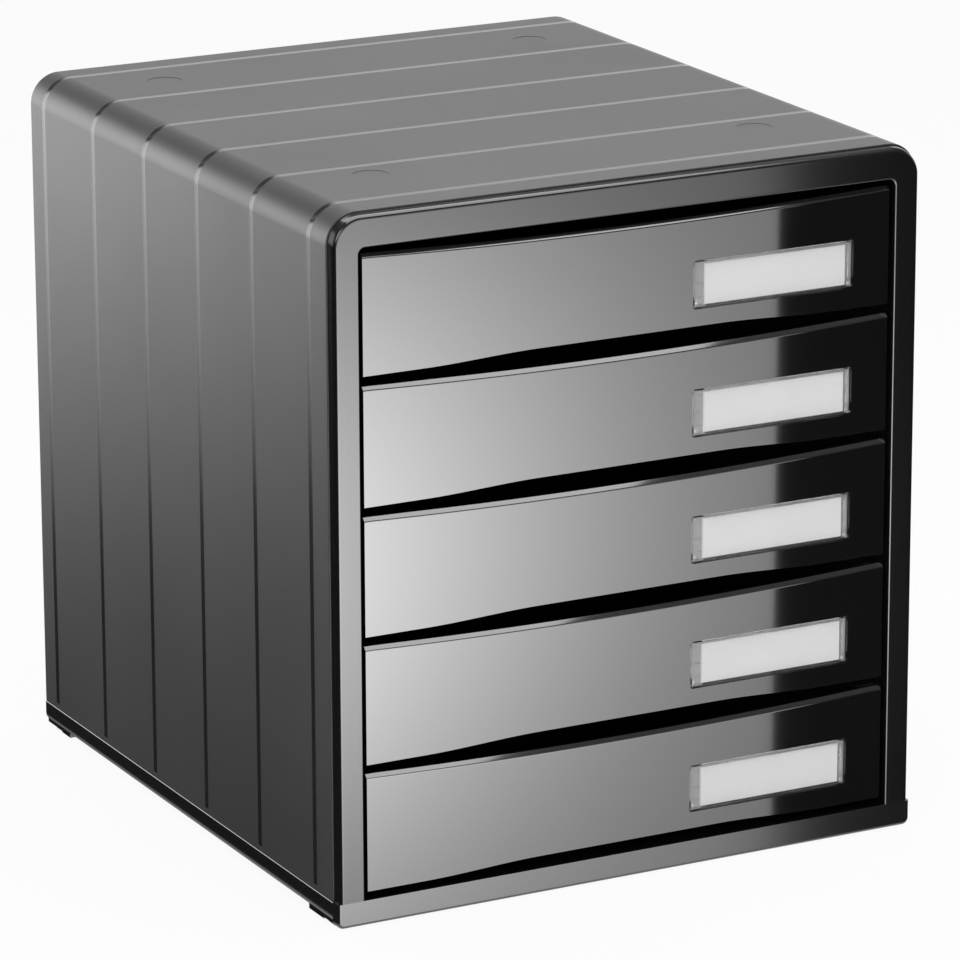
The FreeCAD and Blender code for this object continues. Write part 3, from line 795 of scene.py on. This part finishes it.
def make_peg(x, y, z, radius):
    """The flattened round head of a clip, half sunk in the window."""
    peg = bmesh.new()
    bmesh.ops.create_uvsphere(peg, u_segments=24, v_segments=12, radius=radius)
    bmesh.ops.scale(peg, vec=(1, 0.35, 1), verts=peg.verts)
    bmesh.ops.translate(peg, vec=(x, y + 0.36 * radius, z), verts=peg.verts)
    return peg


def make_window(drawer, number):
    low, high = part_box(f"label_window_{number}")
    card_low, card_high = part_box(f"label_card_{number}")
    margin = Vector((WINDOW_MARGIN, 0, WINDOW_MARGIN))
    low, high = low + margin, high - margin
    cover = box_mesh(low, (high.x, card_low.y - 0.05 * MM, high.z))
    round_edges(cover, [e for e in cover.edges if is_along(e, 1)], POCKET_CORNER, 6)
    face = [f for f in cover.faces if f.normal.y < -0.9]
    bmesh.ops.inset_region(cover, faces=face, thickness=OUTLINE_WIDTH, depth=0.0)
    bmesh.ops.inset_region(cover, faces=face, thickness=RIM_WIDTH, depth=0.0)
    bmesh.ops.inset_region(cover, faces=face, thickness=0.15 * MM, depth=-RIM_HEIGHT)
    outer_rim = [v for v in cover.verts if at(v.co.y, low.y) and
                 (at(v.co.x, low.x) or at(v.co.x, high.x) or at(v.co.z, low.z) or at(v.co.z, high.z))]
    for vert in outer_rim:
        vert.co.y += OUTLINE_WIDTH
    for line in (card_low.x, card_high.x):
        cut(cover, (line, 0, 0), (1, 0, 0))
    cut(cover, (0, 0, card_high.z), (0, 0, 1))
    for share in CLIP_EDGES:
        cut(cover, (0, 0, low.z + share * (high.z - low.z)), (0, 0, 1))
    floor = low.y + RIM_HEIGHT
    clip_low, _, clip_high = [low.z + share * (high.z - low.z) for share in CLIP_EDGES]

    def is_well(f):
        centre = f.calc_center_median()
        beside_card = centre.x < card_low.x or centre.x > card_high.x
        return f.normal.y < -0.9 and at(centre.y, floor, 2e-5) and beside_card and clip_low < centre.z < clip_high

    wells = [f for f in cover.faces if is_well(f)]
    bmesh.ops.inset_individual(cover, faces=wells, thickness=0.25 * MM, depth=0.15 * MM)
    bmesh.ops.inset_individual(cover, faces=wells, thickness=0.30 * MM, depth=0)
    bmesh.ops.inset_individual(cover, faces=wells, thickness=0.08 * MM, depth=-CLIP_SINK)
    for f in cover.faces:
        centre = f.calc_center_median()
        over_card = card_low.x < centre.x < card_high.x and centre.z < card_high.z
        f.material_index = int(not over_card or f.calc_center_median().z < low.z + 0.6 * MM)
        if any(v in outer_rim for v in f.verts):
            f.material_index = 2
    parts = [cover, make_peg(low.x + 1.9 * MM, low.y, low.z + 2.1 * MM, PEG_RADIUS),
             make_peg(high.x - 1.4 * MM, low.y, low.z + 1.8 * MM, 0.8 * PEG_RADIUS)]
    for peg in parts[1:]:
        for f in peg.faces:
            f.material_index = 1
    return finish_piece(f"window_{number}", joined(parts), [WINDOW, WINDOW_EDGE, GLOSS], drawer,
                        [f"label_window_{number}"])


def make_card(drawer, number):
    low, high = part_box(f"label_card_{number}")
    card = box_mesh(low, high)
    round_edges(card, [e for e in card.edges if is_along(e, 1)], 0.3 * MM, 2)
    return finish_piece(f"card_{number}", card, [PAPER], drawer, [f"label_card_{number}"])


for number, drawer in enumerate(DRAWERS, start=1):
    make_window(drawer, number)
    make_card(drawer, number)

# %% [markdown]
# ## The trays
#
# Behind each front hangs an open box with a flange along each side. The box loses its top face
# and gets its wall with solidify; the flanges are slim bars that grow out of its rim.

# %% Trays
TRAY_WALL = 2 * MM
TRAY_CORNER = 4 * MM
FLANGE_WIDTH = 3.6 * MM
FLANGE_HEIGHT = 2 * MM
TAB_WIDTH = 3 * MM
TAB_LENGTH = 6 * MM
TAB_FROM_REAR = 14 * MM


def make_tray(drawer, number):
    low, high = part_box(f"drawer_tray_{number}")
    half = high.x - TAB_WIDTH - FLANGE_WIDTH
    shell = box_mesh((-half, low.y, low.z), (half, high.y, high.z))
    round_edges(shell, [e for e in shell.edges if is_along(e, 2)], TRAY_CORNER, 8)
    round_edges(shell, [e for e in shell.edges if all(at(v.co.z, low.z) for v in e.verts)], 1.2 * MM, 4)
    lid = [face for face in shell.faces if face.normal.z > 0.9 and at(face.calc_center_median().z, high.z)]
    bmesh.ops.delete(shell, geom=lid, context="FACES")
    bmesh.ops.recalc_face_normals(shell, faces=shell.faces)
    bmesh.ops.solidify(shell, geom=shell.faces[:], thickness=TRAY_WALL)
    parts = [shell]
    for side in (-1, 1):
        inner, outer = side * (half - TRAY_WALL / 2), side * (half + FLANGE_WIDTH)
        flange = box_mesh((min(inner, outer), low.y + TRAY_CORNER, high.z - FLANGE_HEIGHT),
                          (max(inner, outer), high.y - TRAY_CORNER, high.z))
        round_edges(flange, flange.edges[:], 0.3 * MM, 2)
        tab_outer = side * high.x
        tab = box_mesh((min(inner, tab_outer), high.y - TAB_FROM_REAR - TAB_LENGTH, high.z - FLANGE_HEIGHT),
                       (max(inner, tab_outer), high.y - TAB_FROM_REAR, high.z))
        round_edges(tab, tab.edges[:], 0.3 * MM, 2)
        parts += [flange, tab]
    return finish_piece(f"tray_{number}", joined(parts), [TRAY], drawer,
                        [f"drawer_tray_{number}"])


for number, drawer in enumerate(DRAWERS, start=1):
    make_tray(drawer, number)

# %% [markdown]
# ## Floor and light
#
# The unit stands on white, as on a photographer's table. Glossy black shows nothing of its own,
# only what stands around it, so the light is built like a product photographer's set: a pale
# horizon for the top, a softbox low at the rear left whose lower edge draws the long gradient on
# the casing, one overhead for the bright rims, and a reflector low in front for the fronts.

# %% Floor and world
FLOOR_GLOW = 0.93


def flat_mesh(name, size, place, material, turn=0.0):
    """A level sheet, or with a turn about X a standing one, that is part of the set only."""
    sheet = bmesh.new()
    bmesh.ops.create_grid(sheet, x_segments=1, y_segments=1, size=1)
    bmesh.ops.scale(sheet, verts=sheet.verts, vec=(size[0] / 2, size[1] / 2, 1))
    bmesh.ops.rotate(sheet, verts=sheet.verts, matrix=Matrix.Rotation(turn, 3, "X"))
    bmesh.ops.translate(sheet, verts=sheet.verts, vec=place)
    data = bpy.data.meshes.new(name)
    sheet.to_mesh(data)
    made = bpy.data.objects.new(name, data)
    bpy.context.scene.collection.objects.link(made)
    data.materials.append(material)
    return made


def table_material():
    """White paper that glows for the camera only, so that the shadow on it stays soft."""
    made, tree, shader = new_material("table_white", Roughness=0.9, IOR=1.3)
    where = node(tree, "ShaderNodeTexCoord").outputs["Object"]
    tree.links.new(between(tree, noise(tree, where, 3.0), (0.90, 0.90, 0.90), (0.93, 0.93, 0.93)),
                   shader.inputs["Base Color"])
    glow = node(tree, "ShaderNodeEmission")
    mix = node(tree, "ShaderNodeMixShader")
    ray = node(tree, "ShaderNodeLightPath")
    seen = math_node(tree, "MAXIMUM", ray.outputs["Is Camera Ray"], ray.outputs["Is Transmission Ray"])
    tree.links.new(math_node(tree, "MULTIPLY", seen, FLOOR_GLOW), mix.inputs["Fac"])
    tree.links.new(shader.outputs["BSDF"], mix.inputs[1])
    tree.links.new(glow.outputs["Emission"], mix.inputs[2])
    tree.links.new(mix.outputs["Shader"], tree.nodes["Material Output"].inputs["Surface"])
    return made


def set_stops(ramp, stops):
    """Grey stops of a colour ramp, as (position, level) pairs in rising order."""
    while len(ramp.color_ramp.elements) < len(stops):
        ramp.color_ramp.elements.new(0.5)
    for element, (position, level) in zip(ramp.color_ramp.elements, stops):
        element.position = position
        element.color = (level, level, level, 1)


SKY_BEHIND = [(0.10, 1.0), (0.22, 0.55), (0.31, 0.02), (0.44, 0.02), (0.50, 1.25), (0.67, 1.35),
              (0.72, 0.18), (0.80, 0.18), (0.90, 0.4)]
SKY_IN_FRONT = [(0.10, 1.0), (0.22, 0.55), (0.31, 0.02), (0.46, 0.02), (0.54, 0.12), (1.0, 0.3)]


def make_world():
    """White where it is seen. In reflections a pale horizon behind the unit, darker above and in front."""
    world = bpy.data.worlds.new("studio")
    world.use_nodes = True
    bpy.context.scene.world = world
    tree = world.node_tree
    toward = node(tree, "ShaderNodeSeparateXYZ")
    tree.links.new(node(tree, "ShaderNodeTexCoord").outputs["Generated"], toward.inputs["Vector"])
    share = node(tree, "ShaderNodeMapRange")
    share.inputs["From Min"].default_value = -1.0
    tree.links.new(toward.outputs["Z"], share.inputs["Value"])
    skies = []
    for stops in (SKY_IN_FRONT, SKY_BEHIND):
        sky = node(tree, "ShaderNodeValToRGB")
        tree.links.new(share.outputs["Result"], sky.inputs["Fac"])
        set_stops(sky, stops)
        skies.append(sky.outputs["Color"])
    behind = node(tree, "ShaderNodeMapRange")
    behind.inputs["From Min"].default_value = -0.1
    behind.inputs["From Max"].default_value = 0.3
    tree.links.new(toward.outputs["Y"], behind.inputs["Value"])
    around = node(tree, "ShaderNodeMix", data_type="RGBA")
    tree.links.new(behind.outputs["Result"], around.inputs["Factor"])
    tree.links.new(skies[0], around.inputs["A"])
    tree.links.new(skies[1], around.inputs["B"])
    ray = node(tree, "ShaderNodeLightPath")
    seen = math_node(tree, "MAXIMUM", ray.outputs["Is Camera Ray"], ray.outputs["Is Transmission Ray"])
    pick = node(tree, "ShaderNodeMix", data_type="RGBA")
    tree.links.new(seen, pick.inputs["Factor"])
    tree.links.new(around.outputs["Result"], pick.inputs["A"])
    pick.inputs["B"].default_value = (1, 1, 1, 1)
    tree.links.new(pick.outputs["Result"], tree.nodes["Background"].inputs["Color"])
    return world


table = flat_mesh("table_top", (8, 8), (0, 0, CAD_LOW.z - 0.05 * MM), table_material())
table.visible_glossy = False
table.visible_shadow = False
make_world()


# %% Lamps
def area_lamp(name, place, aim, size, radiance):
    """A softbox. Its power is found from how bright its face should be."""
    data = bpy.data.lights.new(name, "AREA")
    data.shape = "RECTANGLE"
    data.size, data.size_y = size
    data.energy = math.pi * size[0] * size[1] * radiance
    lamp = bpy.data.objects.new(name, data)
    lamp.location = place
    lamp.rotation_mode = "QUATERNION"
    lamp.rotation_quaternion = (Vector(aim) - Vector(place)).to_track_quat("-Z", "Y")
    lamp.visible_camera = False
    bpy.context.scene.collection.objects.link(lamp)
    print(name, "power", round(data.energy, 1))
    return lamp


overhead = area_lamp("overhead", (0.08, -0.08, 1.25), (0.08, -0.08, 0), (0.96, 1.6), 2.4)
overhead.visible_glossy = False
area_lamp("front_fill", (-1.3, -1.7, 1.0), (0, -0.15, 0.15), (1.0, 1.0), 3.3)


# %% Reflector for the fronts
REFLECTOR_Y = -0.6
REFLECTOR_X = (-0.25, 0.3357)
REFLECTOR_Z = (-0.42, 0.42)
GLOW_CENTRE = (-0.04, 0.0, 0.015)
GLOW_SPREAD = (0.23, 1.0, 0.186)
GLOW_BASE = 0.13
GLOW_PEAK = 0.68
GLOW_LEVEL = 11.0


def reflector_material():
    """Emission that falls off smoothly from one side, like a card lit by a lamp beside it."""
    made = bpy.data.materials.new("reflector_glow")
    made.use_nodes = True
    tree = made.node_tree
    tree.nodes.remove(tree.nodes["Principled BSDF"])
    where = node(tree, "ShaderNodeTexCoord").outputs["Object"]
    place = node(tree, "ShaderNodeVectorMath", operation="SUBTRACT")
    tree.links.new(where, place.inputs[0])
    place.inputs[1].default_value = GLOW_CENTRE
    scaled = node(tree, "ShaderNodeVectorMath", operation="DIVIDE")
    tree.links.new(place.outputs["Vector"], scaled.inputs[0])
    scaled.inputs[1].default_value = GLOW_SPREAD
    flat = node(tree, "ShaderNodeVectorMath", operation="MULTIPLY")
    tree.links.new(scaled.outputs["Vector"], flat.inputs[0])
    flat.inputs[1].default_value = (1, 0, 1)
    length = node(tree, "ShaderNodeVectorMath", operation="LENGTH")
    tree.links.new(flat.outputs["Vector"], length.inputs[0])
    square = math_node(tree, "POWER", length.outputs["Value"], 2.0)
    fall = math_node(tree, "POWER", math.e, math_node(tree, "MULTIPLY", square, -1.0))
    level = math_node(tree, "MULTIPLY_ADD", fall, GLOW_PEAK, GLOW_BASE)
    glow = node(tree, "ShaderNodeEmission")
    tree.links.new(math_node(tree, "MULTIPLY", level, GLOW_LEVEL), glow.inputs["Strength"])
    tree.links.new(glow.outputs["Emission"], tree.nodes["Material Output"].inputs["Surface"])
    return made


reflector = flat_mesh(
    "reflector", (REFLECTOR_X[1] - REFLECTOR_X[0], REFLECTOR_Z[1] - REFLECTOR_Z[0]),
    (sum(REFLECTOR_X) / 2, REFLECTOR_Y, sum(REFLECTOR_Z) / 2), reflector_material(), math.pi / 2)


def reflections_only(card):
    """A card in the set that gives no light and is seen by no camera, only mirrored in gloss."""
    for kind in ("camera", "diffuse", "transmission", "volume_scatter", "shadow"):
        setattr(card, "visible_" + kind, False)


reflections_only(reflector)


# %% Overhead card
def plain_glow(name, level):
    made = bpy.data.materials.new(name)
    made.use_nodes = True
    tree = made.node_tree
    tree.nodes.remove(tree.nodes["Principled BSDF"])
    glow = node(tree, "ShaderNodeEmission")
    glow.inputs["Strength"].default_value = level
    tree.links.new(glow.outputs["Emission"], tree.nodes["Material Output"].inputs["Surface"])
    return made


overhead_card = flat_mesh("overhead_card", (0.975, 1.6), (0.0875, -0.08, 1.2), plain_glow("overhead_glow", 4.0))
reflections_only(overhead_card)

# %% Tall card for the side
SIDE_CARD_Y = 1.2
SIDE_CARD_X = (-1.15, -0.30)
SIDE_CARD_Z = (-0.50, 0.80)
SIDE_CARD_LEVEL = 5.0
SIDE_CARD_STEPS = [(-0.32, 0.005), (-0.25, 0.02), (-0.17, 0.22), (-0.05, 0.52), (0.10, 0.9), (0.30, 1.0),
                   (0.60, 0.9), (0.72, 0.03)]


def side_card_material():
    """A glow that climbs from nothing at the foot to full at shoulder height, then ends."""
    made = bpy.data.materials.new("side_card_glow")
    made.use_nodes = True
    tree = made.node_tree
    tree.nodes.remove(tree.nodes["Principled BSDF"])
    where = node(tree, "ShaderNodeSeparateXYZ")
    tree.links.new(node(tree, "ShaderNodeTexCoord").outputs["Object"], where.inputs["Vector"])
    share = node(tree, "ShaderNodeMapRange")
    share.inputs["From Min"].default_value, share.inputs["From Max"].default_value = SIDE_CARD_Z
    tree.links.new(where.outputs["Z"], share.inputs["Value"])
    ramp = node(tree, "ShaderNodeValToRGB")
    tree.links.new(share.outputs["Result"], ramp.inputs["Fac"])
    low, high = SIDE_CARD_Z
    stops = [((height - low) / (high - low), level) for height, level in SIDE_CARD_STEPS]
    set_stops(ramp, stops)
    glow = node(tree, "ShaderNodeEmission")
    tree.links.new(ramp.outputs["Color"], glow.inputs["Color"])
    glow.inputs["Strength"].default_value = SIDE_CARD_LEVEL
    tree.links.new(glow.outputs["Emission"], tree.nodes["Material Output"].inputs["Surface"])
    return made


side_card = flat_mesh(
    "side_card", (SIDE_CARD_X[1] - SIDE_CARD_X[0], SIDE_CARD_Z[1] - SIDE_CARD_Z[0]),
    (sum(SIDE_CARD_X) / 2, SIDE_CARD_Y, sum(SIDE_CARD_Z) / 2), side_card_material(), math.pi / 2)
reflections_only(side_card)
